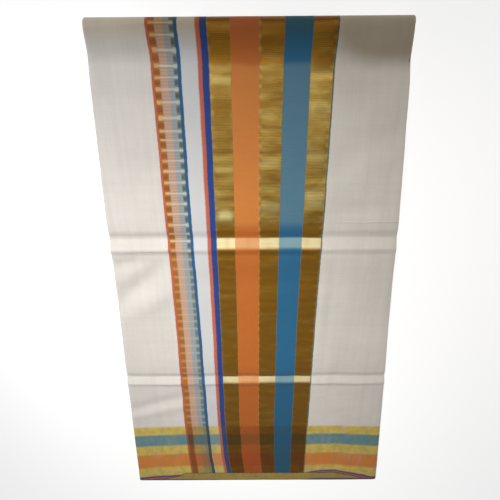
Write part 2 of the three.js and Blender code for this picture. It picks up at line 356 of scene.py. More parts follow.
# How the unevenness of the threads is drawn out: (along the cloth, across it, detail), in metres.
THREADS = {
    "slub": (0.0016, 0.030, 3.0),
    "pick": (0.034, 0.0014, 3.0),
    "mottle": (0.07, 0.09, 3.0),
    "weft streak": (0.40, 0.009, 2.0),
    "warp streak": (0.011, 0.40, 2.0),
    "hairline sway": (0.05, 0.5, 1.0),
    "dash drift": (0.5, 0.05, 2.0),
    "dash strength": (0.02, 0.03, 2.0),
    "outside sway": (0.06, 0.5, 1.0),
    "patch sway": (0.03, 0.3, 1.0),
    "zari glow": (0.055, 0.013, 2.0),
    "crease sway": (0.05, 0.4, 1.0),
    "crease highlight": (0.03, 0.3, 1.0),
    "band wobble": (0.5, 0.045, 2.0),
    "band sway": (0.06, 0.5, 2.0),
    "band fuzz": (0.003, 0.006, 2.0),
    "border worn": (0.012, 0.022, 3.0),
    "border faded": (0.022, 0.05, 2.0),
    "border matted": (0.035, 0.012, 2.0),
    "pucker drift": (0.08, 0.12, 1.0),
    "pucker size": (0.09, 0.10, 1.0),
    "wrinkle": (0.05, 0.035, 3.0),
}
BAND_EDGE_SHARE = 0.4  # the most of a band's width that one of its soft edges takes


def srgb(red, green, blue):
    """A colour given in the 0 to 255 of a dye card, as the linear colour that shaders take."""
    values = [channel / 255 for channel in (red, green, blue)]
    return tuple(v / 12.92 if v <= 0.04045 else ((v + 0.055) / 1.055) ** 2.4 for v in values) + (1.0,)


class Weave:
    """The nodes of one material."""

    def __init__(self, name):
        self.material = bpy.data.materials.new(name)
        self.material.use_nodes = True
        self.tree = self.material.node_tree
        self.shader = self.tree.nodes["Principled BSDF"]
        self.length = None
        self.width = None

    def lie_on(self, uv_name):
        """Keeps where a point lies along the cloth and across it, in metres."""
        uv = self.tree.nodes.new("ShaderNodeUVMap")
        uv.uv_map = uv_name
        parts = self.tree.nodes.new("ShaderNodeSeparateXYZ")
        self.tree.links.new(uv.outputs[0], parts.inputs[0])
        self.length, self.width = parts.outputs[0], parts.outputs[1]

    def put(self, socket, value):
        if isinstance(value, bpy.types.NodeSocket):
            self.tree.links.new(value, socket)
        else:
            socket.default_value = value

    def shade(self, **values):
        """Sets inputs of the shader, with _ for each space in their names."""
        for name, value in values.items():
            self.put(self.shader.inputs[name.replace("_", " ")], value)

    def math(self, operation, first, second=0.0, third=0.0):
        node = self.tree.nodes.new("ShaderNodeMath")
        node.operation = operation
        for socket, value in zip(node.inputs, (first, second, third)):
            self.put(socket, value)
        return node.outputs[0]

    def add(self, first, *others):
        for other in others:
            first = self.math("ADD", first, other)
        return first

    def times(self, first, *others):
        for other in others:
            first = self.math("MULTIPLY", first, other)
        return first

    def scaled(self, value, factor, offset):
        return self.math("MULTIPLY_ADD", value, factor, offset)

    def rest(self, share):
        return self.math("SUBTRACT", 1.0, share)

    def most(self, first, second):
        return self.math("MAXIMUM", first, second)

    def least(self, first, second):
        return self.math("MINIMUM", first, second)

    def step(self, value, low, high):
        """0 under low and 1 over high, eased between them. With low over high it falls instead."""
        node = self.tree.nodes.new("ShaderNodeMapRange")
        node.interpolation_type = "SMOOTHSTEP"
        start, end = (0.0, 1.0) if low < high else (1.0, 0.0)
        for socket, given in zip(node.inputs, (value, min(low, high), max(low, high), start, end)):
            self.put(socket, given)
        return node.outputs[0]

    def between(self, value, start, end, soft):
        rise = self.step(value, start - soft, start + soft)
        return self.times(rise, self.step(value, end + soft, end - soft))

    def wave(self, value, pitch, shift=0.0):
        """A soft wave from 0 to 1 along value, of that pitch in metres."""
        turned = self.add(self.times(value, 2 * math.pi / pitch), shift)
        return self.scaled(self.math("SINE", turned), 0.5, 0.5)

    def mix(self, share, first, second, blend="MIX"):
        node = self.tree.nodes.new("ShaderNodeMix")
        node.data_type = "RGBA"
        node.blend_type = blend
        self.put(node.inputs[0], share)
        self.put(node.inputs[6], first)
        self.put(node.inputs[7], second)
        return node.outputs[2]

    def threads(self, kind):
        """Noise from 0 to 1, drawn out as the table THREADS says."""
        along_cloth, across_cloth, detail = THREADS[kind]
        place = self.tree.nodes.new("ShaderNodeCombineXYZ")
        self.put(place.inputs[0], self.times(self.length, 1 / along_cloth))
        self.put(place.inputs[1], self.times(self.width, 1 / across_cloth))
        node = self.tree.nodes.new("ShaderNodeTexNoise")
        node.inputs["Scale"].default_value = 1.0
        node.inputs["Detail"].default_value = detail
        self.tree.links.new(place.outputs[0], node.inputs["Vector"])
        return node.outputs["Fac"]

    def sway(self, kind):
        """The same noise from -0.5 to 0.5."""
        return self.add(self.threads(kind), -0.5)

    def bands(self, place, reach, stripes, soft):
        """Colour and share of a set of bands with soft edges. stripes are (start, end, colour), one
        after the other, in metres."""
        node = self.tree.nodes.new("ShaderNodeValToRGB")
        ramp = node.color_ramp
        low, high = reach
        stops = []
        for index, (start, end, colour) in enumerate(stripes):
            joins_last = index > 0 and stripes[index - 1][1] == start
            joins_next = index + 1 < len(stripes) and stripes[index + 1][0] == end
            edge = min(soft, (end - start) * BAND_EDGE_SHARE)
            stops += [] if joins_last else [(start - edge, colour, 0)]
            stops += [(start + edge, colour, 1), (end - edge, colour, 1)]
            stops += [] if joins_next else [(end + edge, colour, 0)]
        ramp.elements.remove(ramp.elements[1])
        for index, (edge, colour, share) in enumerate(stops):
            position = (edge - low) / (high - low)
            stop = ramp.elements[0] if index == 0 else ramp.elements.new(position)
            stop.position = position
            stop.color = (*colour[:3], share)
        self.put(node.inputs[0], self.times(self.add(place, -low), 1 / (high - low)))
        return node.outputs[0], node.outputs[1]

    def split(self, colour):
        node = self.tree.nodes.new("ShaderNodeSeparateColor")
        self.put(node.inputs[0], colour)
        return node.outputs[0], node.outputs[1], node.outputs[2]


# Dye and thread colours.
COTTON_DULL = srgb(204, 197, 188)
COTTON_BRIGHT = srgb(247, 241, 233)
GOLD = srgb(190, 155, 72)
# painted shade on the zari past the stretch of painted sheen
GOLD_SHADOWED = srgb(186, 130, 26)
# deep tone of the zari and of its ribs, also used for painted shade
GOLD_DEEP_AND_SHADE = srgb(146, 104, 28)
GOLD_LIGHT = srgb(214, 188, 108)
# painted highlight on the zari
GOLD_PAINTED_HIGHLIGHT = srgb(255, 238, 160)
# painted highlight on the zari of the crease strips
GOLD_CREASE_HIGHLIGHT = srgb(255, 243, 188)
ORANGE = srgb(210, 115, 38)
BLUE = srgb(40, 112, 150)
RED_LINE = srgb(206, 106, 78)
ROYAL_LINE = srgb(36, 68, 142)
COPPER = srgb(182, 112, 46)
COPPER_DEEP = srgb(128, 72, 22)
COPPER_LIGHT = srgb(242, 204, 138)
PINK = srgb(208, 170, 144)
PALE_BLUE = srgb(160, 170, 175)
GREY_GREEN = srgb(130, 138, 130)
GAP_COTTON = srgb(222, 222, 222)
STEEL_DEEP = srgb(62, 74, 72)
SILVER = srgb(222, 226, 214)
LADDER_BLUE = srgb(40, 98, 144)
RUNG_DEEP = srgb(146, 128, 116)
RUNG_LIGHT = srgb(246, 236, 216)
SIDE_LINE = srgb(92, 108, 104)
BORDER_GOLD = srgb(228, 198, 98)
BORDER_OLIVE = srgb(160, 152, 84)
BORDER_ORANGE = srgb(232, 137, 58)
BORDER_BLUE = srgb(98, 144, 158)
# painted shadow line along the selvedge rim
SELVEDGE_SHADOW_LINE = srgb(66, 42, 44)
# painted shade on the border of the layers under the top one
SHADED = srgb(118, 88, 52)

# What those colours are multiplied by, in linear light, or what is added to them.
WHITE = (1, 1, 1, 1)
GREY = (0.62, 0.62, 0.62, 1)
YARN_SHADE = (0.78, 0.78, 0.78, 1)
# painted shade at the near fold, on the cotton and on the bands
FOLD_SHADE_COTTON = (0.66, 0.59, 0.48, 1)
FOLD_SHADE_BANDS = (0.62, 0.50, 0.30, 1)
# more painted shade at the near fold, on the zari
ZARI_FOLD_SHADE = (0.68, 0.66, 0.50, 1)
# painted shade on the art silk past the stretch of painted sheen
SILK_PAINTED_SHADE = (0.93, 0.93, 0.97, 1)
SILK_DULLED = (0.90, 0.86, 0.84, 1)
SILK_PAINTED_SHEEN = (0.075, 0.068, 0.022, 1)  # added: painted sheen on the art silk
SILK_CREASE_HIGHLIGHT = (0.21, 0.23, 0.14, 1)  # added: painted highlight on the art silk of the crease strips

BAND_START = -70  # where the first gold band of the pallu begins, along the cloth

# The pallu's bands, in millimetres along the cloth from that place: (start, end, colour, lustre,
# hold, deepen). Zari has a lustre of 1 and art silk about 0.4. Hold is how well a band keeps its
# colour where it crosses the border, and deepen how far the border's threads darken it there.
PALLU_BANDS = [
    (-83, -80, RED_LINE, 0.0, 0.9, 0.6),
    (-80, -70.5, COPPER, 0.2, 0.95, 1.0),
    (-70.5, -59, PINK, 0.0, 0.7, 1.0),
    (-59, -50.5, PALE_BLUE, 0.0, 0.7, 1.0),
    (-50.5, -45.5, GREY_GREEN, 0.1, 0.8, 0.6),
    (-45.5, -40, LADDER_BLUE, 0.1, 0.95, 0.8),
    (-40, -16, GAP_COTTON, 0.0, 0.1, 0.3),
    (-16, -10, RED_LINE, 0.0, 0.85, 0.3),
    (-10, 0, ROYAL_LINE, 0.1, 0.95, 0.3),
    (0, 31, GOLD, 1.0, 1.0, 0.75),
    (31, 72, ORANGE, 0.4, 1.0, 0.6),
    (72, 105, GOLD, 1.0, 1.0, 0.75),
    (105, 143.5, BLUE, 0.4, 1.0, 0.3),
    (143.5, 176, GOLD, 1.0, 1.0, 0.75),
    (176, 178, SIDE_LINE, 0.0, 0.6, 0.6),
]
PALLU_SOFT = 0.45 * MM
PALLU_REACH = (-0.16, 0.115)  # the stretch along the cloth that the table covers, in metres
ZARI_LUSTRE = (0.7, 0.9)  # where a band begins to be zari, and where it is
SILK_LUSTRE = (0.3, 0.5, 0.05)  # (low, high, soft)

# The border's bands, in millimetres across the cloth from the selvedge: (start, end, colour, lustre).
BORDER_BANDS = [
    # the first band is a painted shadow line along the selvedge rim
    (0, 1.8, SELVEDGE_SHADOW_LINE, 0.0),
    (1.8, 8, RED_LINE, 0.1),
    (8, 13, ROYAL_LINE, 0.1),
    (13, 40.5, BORDER_GOLD, 0.5),
    (40.5, 81, BORDER_ORANGE, 0.3),
    (81, 108, BORDER_GOLD, 0.5),
    (108, 140, BORDER_BLUE, 0.3),
    (140, 164, BORDER_GOLD, 0.5),
]
BORDER_SOFT = 2.4 * MM
BORDER_REACH = (-0.01, 0.2)
BORDER_BODY = (13 * MM, 18 * MM)  # where the border's wide bands begin

# How the border is worn: (unevenness, where it begins to tell, where it is full, share, colour).
BORDER_WEAR = [
    ("border worn", 0.40, 0.68, 0.36, BORDER_OLIVE),
    ("border faded", 0.50, 0.72, 0.16, COTTON_DULL),
    ("border matted", 0.42, 0.70, 0.20, BORDER_OLIVE),
]
SHADED_SHARE = 0.5  # how much painted shade darkens the border on the layers under the top one

# What shades the plain cotton besides its grain: (unevenness, share).
COTTON_SHADES = [
    ("mottle", 0.45),
    ("weft streak", 0.16),
    ("warp streak", 0.34),
]
COTTON_GRAIN = 0.45
COTTON_LEVEL = -0.20

# Hairline creases of the plain cotton: (place across the cloth, start and end along it, depth), mm.
HAIRLINES = [
    (608, -262, -158, 0.22),
    (577, -262, -150, 0.35),
    (631, 138, 240, -0.55),
    (604, 120, 200, 0.14),
    (579, 110, 240, 0.16),
    (437, -264, -214, 0.14),
    (283, -262, -190, 0.16),
]
HAIRLINE_HALF = 0.6
HAIRLINE_SOFT = 1.3
HAIRLINE_FADE = 14
HAIRLINE_SWAY = 4

# Painted highlight and painted shade in larger areas on each gold band: (x, v, half length, half width,
# -1 deep to 1 bright), mm.
ZARI_SHEEN_PATCHES = [
    (-54, 628, 12, 8, 0.95),
    (-54, 704, 15, 5, 0.2),
    (-54, 743, 15, 14, -0.55),
    (-54, 790, 15, 24, -0.8),
    (-54, 829, 15, 7, 0.3),
    (-54, 852, 15, 6, -0.5),
    (18, 642, 16, 9, 0.35),
    (18, 712, 16, 8, 0.25),
    (18, 688, 16, 12, -0.4),
    (18, 826, 16, 20, -0.45),
    (90, 656, 16, 13, 0.5),
    (90, 722, 16, 9, 0.25),
    (90, 790, 16, 9, 0.2),
    (90, 697, 16, 8, -0.35),
    (90, 742, 16, 5, -0.45),
    (90, 850, 16, 10, -0.6),
]
PATCH_FADE = 7
PATCH_SOFT = 0.8  # of its half width
PATCH_SWAY = 8

# The ladder, in millimetres from BAND_START. Its dashes: (start, end, colour, kind, share).
LADDER_DASHES = [
    (-79.5, -70.5, COPPER_DEEP, "deep", 0.7),
    (-78.5, -71.0, COPPER_LIGHT, "light", 0.75),
    (-50.5, -45.5, STEEL_DEEP, "deep", 0.8),
    (-50.5, -45.0, SILVER, "light", 0.75),
]
DASH_PITCH = 16.8
DASH_SOFT = 0.9
DASH_DRIFT = 9.0  # how far the dashes get out of step, in radians
DASH_STRENGTH = (0.9, 0.35)  # (share that is uneven, least)
DASH_LIGHT = (0.66, 0.97)
DASH_DEEP = (0.6, 0.1)
RUNGS = (-71.5, -49.5, 0.8)  # (start, end, soft)
RUNG_PITCH = 4.7
RUNG_FINE = (0.3, 1.0)
RUNG_THREAD = (0.9, 1.0)
RUNG_DEEP_SHARE = 0.30
RUNG_LIGHT_SHARE = 0.5
LADDER_MIDDLE = BAND_START - 60
# The ladder is wider towards the far edge: how much, where across the cloth, and where along it from
# its middle as (start, end, soft), in metres.
LADDER_SPREAD = 0.17
SPREAD_ACROSS = (0.75, 0.05)
SPREAD_ALONG = (-0.034, 0.030, 0.004)

# Flecks along the edges of the gold, in millimetres from BAND_START: (place, share).
GOLD_FLECKS = [
    (72.4, 0.50),
    (1.8, 0.30),
    (173.6, 0.45),
]
FLECK_HALF = 2.4
FLECK_SOFT = 1.8
FLECK_PITCH = 16.3
FLECK_DRIFT = 1.4  # of the dashes' drift
FLECK_LIGHT = (0.6, 1.0)
FLECK_DEEP = (0.35, 0.0)
FLECK_DEEP_SHARE = 0.6

FUZZY_FROM = (12 * MM, 30 * MM)  # the border's edges are fuzzy past its selvedge stripes
BORDER_FUZZ = 6 * MM
BORDER_SWAY = 3 * MM
PALLU_WOBBLE = 1.6 * MM
PALLU_FUZZ = 1.4 * MM
YARN_SHARE = 0.5
TINT_SHARE = 0.8  # how much of its colour the border gives to the bands that cross it
HIDDEN_BY_BORDER = 0.9  # how much of the dashes the border hides
FRESH_FROM = (0.56, 0.60)  # past the second crease the dashes are stronger
FRESH = (0.62, 0.38)


def on_cloth(v):
    """The cloth's own width coordinate in metres, at a distance from the far selvedge."""
    return (v + EDGE_BAND) * MM


def banded(weave, place, reach, bands, origin, soft, tone):
    """A table of bands laid over a place: the tone of each band, and the share that is banded."""
    stripes = [((band[0] + origin) * MM, (band[1] + origin) * MM, tone(band)) for band in bands]
    return weave.bands(place, reach, stripes, soft)


def cotton_tone(weave):
    """Slubs, picks and streaks of the plain cotton, as a colour, and its grain."""
    grain = weave.add(weave.times(weave.threads("slub"), 0.5), weave.times(weave.threads("pick"), 0.5))
    shades = [weave.times(weave.threads(kind), share) for kind, share in COTTON_SHADES]
    shade = weave.add(weave.times(grain, COTTON_GRAIN), *shades, COTTON_LEVEL)
    return weave.mix(shade, COTTON_DULL, COTTON_BRIGHT), grain


def hairlines(weave):
    """The height of the hairline creases, as a bump."""
    wavy = weave.add(weave.width, weave.times(weave.sway("hairline sway"), HAIRLINE_SWAY * MM))
    height = 0.0
    for place, start, end, depth in HAIRLINES:
        low, high = (place - HAIRLINE_HALF) * MM, (place + HAIRLINE_HALF) * MM
        line = weave.between(wavy, low, high, HAIRLINE_SOFT * MM)
        reach = weave.between(weave.length, start * MM, end * MM, HAIRLINE_FADE * MM)
        height = weave.add(weave.times(line, reach, -depth * MM), height)
    return height


def gold_flecks(weave, colour, place, drift, strength):
    """Light and deep flecks along the edges of the gold."""
    fleck = weave.wave(weave.width, FLECK_PITCH * MM, weave.times(drift, FLECK_DRIFT))
    light, deep = weave.step(fleck, *FLECK_LIGHT), weave.step(fleck, *FLECK_DEEP)
    for edge, share in GOLD_FLECKS:
        near = weave.between(place, (edge - FLECK_HALF) * MM, (edge + FLECK_HALF) * MM, FLECK_SOFT * MM)
        near = weave.times(near, strength, share)
        colour = weave.mix(weave.times(near, light), colour, GOLD_LIGHT)
        colour = weave.mix(weave.times(near, deep, FLECK_DEEP_SHARE), colour, COPPER_DEEP)
    return colour


def pallu_dashes(weave, colour, along, plain):
    """The ladder's dashes and cross threads, and the flecks along the edges of the gold. plain is low
    where other threads hide them."""
    place = weave.add(along, -BAND_START * MM)
    drift = weave.times(weave.threads("dash drift"), DASH_DRIFT)
    dash_wave = weave.wave(weave.width, DASH_PITCH * MM, drift)
    uneven = weave.scaled(weave.threads("dash strength"), *DASH_STRENGTH)
    strength = weave.times(uneven, plain)
    dashes = {
        "light": weave.times(weave.step(dash_wave, *DASH_LIGHT), strength),
        "deep": weave.times(weave.step(dash_wave, *DASH_DEEP), strength),
    }
    for start, end, dye, kind, share in LADDER_DASHES:
        inside = weave.between(place, start * MM, end * MM, DASH_SOFT * MM)
        colour = weave.mix(weave.times(inside, dashes[kind], share), colour, dye)
    rungs = weave.times(weave.between(place, *[edge * MM for edge in RUNGS]), plain)
    fine = weave.step(weave.wave(weave.width, RUNG_PITCH * MM, drift), *RUNG_FINE)
    colour = weave.mix(weave.times(rungs, fine, RUNG_DEEP_SHARE), colour, RUNG_DEEP)
    thread = weave.times(weave.step(dash_wave, *RUNG_THREAD), uneven)
    colour = weave.mix(weave.times(rungs, thread, RUNG_LIGHT_SHARE), colour, RUNG_LIGHT)
    return gold_flecks(weave, colour, place, drift, strength)


# The stretch of painted sheen, across the cloth: where it begins to tell, and where it is full.
SHEEN_STRETCH_START = [on_cloth(SECOND_CREASE + past) for past in (25, 42)]
SHEEN_STRETCH_END = [on_cloth(FOLD_CENTRE - before) for before in (43, 53)]
SHEEN_STRETCH_SWAY = 16 * MM


def painted_sheen_stretch(weave):
    """The stretch between the second crease and the near fold, which carries painted sheen; past it the
    bands carry painted shade.
    """
    place = weave.add(weave.width, weave.times(weave.sway("outside sway"), SHEEN_STRETCH_SWAY))
    return weave.times(weave.step(weave.width, *SHEEN_STRETCH_START), weave.step(place, *SHEEN_STRETCH_END))


def painted_zari_sheen(weave):
    """The larger areas of painted highlight and painted shade on the zari, from -1 to 1."""
    wavy = weave.add(weave.width, weave.times(weave.sway("patch sway"), PATCH_SWAY * MM))
    light = 0.0
    for x, v, half_length, half_width, amount in ZARI_SHEEN_PATCHES:
        start, end = (x - half_length) * MM, (x + half_length) * MM
        reach = weave.between(weave.length, start, end, PATCH_FADE * MM)
        low, high = on_cloth(v - half_width), on_cloth(v + half_width)
        band = weave.between(wavy, low, high, PATCH_SOFT * half_width * MM)
        light = weave.add(weave.times(reach, band, amount), light)
    return light


ZARI_SHADE_SHARE = 0.9  # how far painted shade browns the zari past the stretch of painted sheen
GLOW_SHARE = (0.4, 0.2)  # (more across the stretch of painted sheen, least)
GLOW_DEEP = (0.52, 0.34)
GLOW_LIGHT = (0.52, 0.68)


def zari_tone(weave, colour, zari, sheen_stretch):
    """The zari's tone: uneven spots a finger wide across the band, the zari's own, made stronger as
    painted sheen across the stretch between the second crease and the near fold; painted shade, browner
    and quieter, past that stretch; and larger areas of painted highlight and painted shade."""
    # painted shade browns the zari past the stretch of painted sheen
    colour = weave.mix(weave.times(zari, weave.rest(sheen_stretch), ZARI_SHADE_SHARE), colour, GOLD_SHADOWED)
    glow = weave.threads("zari glow")
    strength = weave.times(zari, weave.scaled(sheen_stretch, *GLOW_SHARE))
    colour = weave.mix(weave.times(strength, weave.step(glow, *GLOW_DEEP)), colour, GOLD_DEEP_AND_SHADE)
    colour = weave.mix(weave.times(strength, weave.step(glow, *GLOW_LIGHT)), colour, GOLD_LIGHT)
    # larger areas of painted shade and painted highlight on the zari
    patches = painted_zari_sheen(weave)
    deep = weave.least(weave.most(weave.times(patches, -1.0), 0.0), 1.0)
    bright = weave.least(weave.most(patches, 0.0), 1.0)
    colour = weave.mix(weave.times(zari, deep), colour, GOLD_DEEP_AND_SHADE)
    return weave.mix(weave.times(zari, bright), colour, GOLD_PAINTED_HIGHLIGHT)


SILK_DULL_FROM = (0.305, 0.275)  # across the cloth, towards the far selvedge


def silk_tone(weave, colour, silk, sheen_stretch):
    """The art silk carries painted sheen across the stretch between the second crease and the near fold
    and painted shade past it, and is duller towards the border.
    """
    # painted sheen added across the stretch, painted shade past it
    colour = weave.mix(weave.times(silk, sheen_stretch), colour, SILK_PAINTED_SHEEN, "ADD")
    colour = weave.mix(weave.times(silk, weave.rest(sheen_stretch)), colour, SILK_PAINTED_SHADE, "MULTIPLY")
    far = weave.times(silk, weave.step(weave.width, *SILK_DULL_FROM))
    return weave.mix(far, colour, SILK_DULLED, "MULTIPLY")


# Painted shade darkens the near fold. Where that begins and ends, across the cloth:
FOLD_SHADE_START = [on_cloth(FOLD_CENTRE + past) for past in (-34, 6)]
FOLD_SHADE_END = [on_cloth(FOLD_CENTRE + past) for past in (40, 25)]
FOLD_SHADE_SOONER = 30 * MM  # how much sooner it begins at the right
FOLD_SHADE_RIGHT = (0.07, 0.17)
FOLD_SHADE_SHARE = 0.8
# Changes along the cloth: (start, where it is full, change of the share).
FOLD_SHADE_CHANGES = [
    (-0.235, -0.265, -0.5),
    (0.09, 0.14, 0.35),
]


def painted_fold_shade(weave):
    """Where painted shade darkens the near fold: from just before it to just past it."""
    sooner = weave.times(weave.step(weave.length, *FOLD_SHADE_RIGHT), FOLD_SHADE_SOONER)
    rise = weave.step(weave.add(weave.width, sooner), *FOLD_SHADE_START)
    share = FOLD_SHADE_SHARE
    for start, full, change in FOLD_SHADE_CHANGES:
        share = weave.add(share, weave.times(weave.step(weave.length, start, full), change))
    return weave.times(rise, share, weave.step(weave.width, *FOLD_SHADE_END))


PRESSED_SWAY = 3 * MM
PRESSED_FAR = (-1, 6)  # how the strip comes in at its far edge
PRESSED_NEAR = (1.5, -1.5)  # and goes out at its near edge
# the painted highlight on the pressed strips is patchy
HIGHLIGHT_PATCHY = (0.25, 0.55)
HIGHLIGHT_SHARE = (0.3, 0.7)  # (share that is patchy, least)


def crease_highlights(weave):
    """Where the creases were pressed: their leaning strips, which carry a painted highlight."""
    place = weave.add(weave.width, weave.times(weave.sway("crease sway"), PRESSED_SWAY))
    strips = []
    for crease, size, _, _ in CREASES:
        low, high = [crease + side * size for side in FACET]
        far = weave.step(place, *[on_cloth(low + past) for past in PRESSED_FAR])
        near = weave.step(place, *[on_cloth(high + past) for past in PRESSED_NEAR])
        strips.append(weave.times(far, near))
    patchy = weave.step(weave.threads("crease highlight"), *HIGHLIGHT_PATCHY)
    return weave.times(weave.most(*strips), weave.scaled(patchy, *HIGHLIGHT_SHARE))


def border_tone(weave, sway, fuzz):
    """The border's colour, how far it covers the cotton, and its lustre. Both selvedges have one."""
    other_edge = weave.add(weave.times(weave.width, -1.0), on_cloth(SAREE_WIDTH))
    from_edge = weave.least(weave.width, other_edge)
    ragged = weave.times(fuzz, weave.step(from_edge, *FUZZY_FROM), BORDER_FUZZ)
    place = weave.add(from_edge, weave.times(sway, BORDER_SWAY), ragged)
    laid = (place, BORDER_REACH, BORDER_BANDS, 0, BORDER_SOFT)
    dye, share = banded(weave, *laid, lambda band: band[2])
    lustre, _ = banded(weave, *laid, lambda band: (band[3],) * 3)
    body = weave.step(from_edge, *BORDER_BODY)
    for kind, low, high, amount, colour in BORDER_WEAR:
        worn = weave.step(weave.threads(kind), low, high)
        dye = weave.mix(weave.times(worn, body, amount), dye, colour)
    return dye, share, weave.times(weave.split(lustre)[0], share)


def pallu_along(weave, fuzz):
    """Where a thread lies along the pallu. Bands wobble a little, and the ladder spreads."""
    wobble = weave.times(weave.sway("band wobble"), PALLU_WOBBLE)
    along = weave.add(weave.length, wobble, weave.times(fuzz, PALLU_FUZZ))
    from_ladder = weave.add(along, -LADDER_MIDDLE * MM)
    across_cloth = weave.step(weave.width, *SPREAD_ACROSS)
    spread = weave.times(across_cloth, weave.between(from_ladder, *SPREAD_ALONG))
    return weave.add(along, weave.times(from_ladder, spread, -LADDER_SPREAD))


def pallu_over(weave, cotton, border, along, grain, fold_shade):
    """The pallu's bands laid on the cotton and over the border: the whole colour and lustre."""
    border_dye, border_share, border_lustre = border
    laid = (along, PALLU_REACH, PALLU_BANDS, BAND_START, PALLU_SOFT)
    dye, share = banded(weave, *laid, lambda band: band[2])
    traits, _ = banded(weave, *laid, lambda band: band[3:])
    lustre, hold, deepen = weave.split(traits)
    zari = weave.step(lustre, *ZARI_LUSTRE)
    silk = weave.between(lustre, *SILK_LUSTRE)
    sheen_stretch = painted_sheen_stretch(weave)
    dye = zari_tone(weave, dye, zari, sheen_stretch)
    dye = silk_tone(weave, dye, silk, sheen_stretch)
    dye = weave.mix(weave.times(grain, YARN_SHARE), dye, YARN_SHADE, "MULTIPLY")
    fresh = weave.scaled(weave.step(weave.width, *FRESH_FROM), *FRESH)
    plain = weave.times(weave.scaled(border_share, -HIDDEN_BY_BORDER, 1.0), fresh)
    dye = pallu_dashes(weave, dye, along, plain)
    tint = weave.mix(TINT_SHARE, GREY, border_dye)
    over = weave.mix(1.0, dye, weave.mix(deepen, WHITE, tint), "MULTIPLY")
    crossed = weave.mix(hold, border_dye, over)
    # painted shade at the near fold, deeper on the zari
    dye = weave.mix(weave.times(fold_shade, zari), dye, ZARI_FOLD_SHADE, "MULTIPLY")
    dye = weave.mix(1.0, dye, weave.mix(fold_shade, WHITE, FOLD_SHADE_BANDS), "MULTIPLY")
    on_cotton = weave.mix(share, cotton, dye)
    on_border = weave.mix(share, border_dye, crossed)
    colour = weave.mix(border_share, on_cotton, on_border)
    return colour, weave.most(border_lustre, weave.times(lustre, share))


METAL_LUSTRE = (0.45, 1.0)
SHINY_LUSTRE = (0.2, 0.4)
RIB_PITCH = 2.3 * MM
RIB_SWAY = 0.6 * MM
RIB_SHARE = 0.14
# how much painted highlight the zari of the pressed strips takes
CREASE_HIGHLIGHT_SHARE = 0.85
METALLIC = 0.72
PRESSED_DULL = 0.55  # how much less metallic a pressed strip is
ROUGHNESS = 0.86
LUSTRE_SMOOTHS = 0.40
PUCKER_PITCH = 19 * MM
PUCKER_DRIFT = 9.0
THREAD_PITCH = 0.62 * MM
# Heights of the relief, in metres.
GRAIN_HEIGHT = 0.18 * MM
WRINKLE_HEIGHT = 1.1 * MM
PUCKER_HEIGHT = 0.3 * MM
RIB_HEIGHT = 0.08 * MM
THREAD_HEIGHT = 0.018 * MM


def relief(weave, grain, rib, metal, shiny):
    """The height of threads, ribs, puckers, wrinkles and hairline creases, as a bump."""
    drift = weave.times(weave.threads("pucker drift"), PUCKER_DRIFT)
    pucker = weave.wave(weave.width, PUCKER_PITCH, drift)
    pucker_size = weave.times(weave.threads("pucker size"), metal)
    thread = weave.most(weave.wave(weave.length, THREAD_PITCH), weave.wave(weave.width, THREAD_PITCH))
    height = weave.add(
        weave.times(grain, GRAIN_HEIGHT),
        weave.times(weave.threads("wrinkle"), WRINKLE_HEIGHT),
        weave.times(pucker, pucker_size, PUCKER_HEIGHT),
        weave.times(rib, shiny, RIB_HEIGHT),
        weave.times(thread, THREAD_HEIGHT),
        hairlines(weave),
    )
    bump = weave.tree.nodes.new("ShaderNodeBump")
    bump.inputs["Strength"].default_value = 1.0
    bump.inputs["Distance"].default_value = 1.0
    weave.put(bump.inputs["Height"], height)
    return bump.outputs[0]


def finish_cloth(weave, colour, lustre, grain, sway):
    """Ribs the zari, paints a highlight on the pressed strips, and puts the colour, shine and relief on
    the shader.
    """
    metal = weave.step(lustre, *METAL_LUSTRE)
    shiny = weave.step(lustre, *SHINY_LUSTRE)
    rib = weave.wave(weave.add(weave.width, weave.times(sway, RIB_SWAY)), RIB_PITCH)
    # darker in the troughs between the ribs: partly the core thread's own colour, partly painted shade
    colour = weave.mix(weave.times(metal, weave.rest(rib), RIB_SHARE), colour, GOLD_DEEP_AND_SHADE)
    strips = crease_highlights(weave)
    # painted highlight on the pressed strips: brighter gold on the zari, added light on the art silk
    pressed = weave.times(strips, shiny)
    colour = weave.mix(weave.times(pressed, metal, CREASE_HIGHLIGHT_SHARE), colour, GOLD_CREASE_HIGHLIGHT)
    colour = weave.mix(weave.times(pressed, weave.rest(metal)), colour, SILK_CREASE_HIGHLIGHT, "ADD")
    weave.shade(
        Base_Color=colour,
        Metallic=weave.times(metal, weave.scaled(strips, -PRESSED_DULL, 1.0), METALLIC),
        Roughness=weave.scaled(lustre, -LUSTRE_SMOOTHS, ROUGHNESS),
        Specular_IOR_Level=0.5,
        Sheen_Weight=0.10,
        Sheen_Roughness=0.5,
        Normal=relief(weave, grain, rib, metal, shiny),
    )


def woven_cotton(name, has_pallu):
    """Cotton with its woven borders, and with the pallu's bands where the piece has them."""
    weave = Weave(name)
    weave.lie_on("cloth")
    fold_shade = painted_fold_shade(weave)
    cotton, grain = cotton_tone(weave)
    # painted shade at the near fold, on the cotton
    cotton = weave.mix(1.0, cotton, weave.mix(fold_shade, WHITE, FOLD_SHADE_COTTON), "MULTIPLY")
    # Bands run a little uneven, as woven ones do, and their edges are fuzzy with crossing threads.
    sway = weave.sway("band sway")
    fuzz = weave.sway("band fuzz")
    border_dye, border_share, lustre = border_tone(weave, sway, fuzz)
    if has_pallu:
        border = (border_dye, border_share, lustre)
        colour, lustre = pallu_over(weave, cotton, border, pallu_along(weave, fuzz), grain, fold_shade)
    else:
        # painted shade on the border of the layers under the top one
        colour = weave.mix(border_share, cotton, weave.mix(SHADED_SHARE, border_dye, SHADED))
    finish_cloth(weave, colour, lustre, grain, sway)
    return weave.material


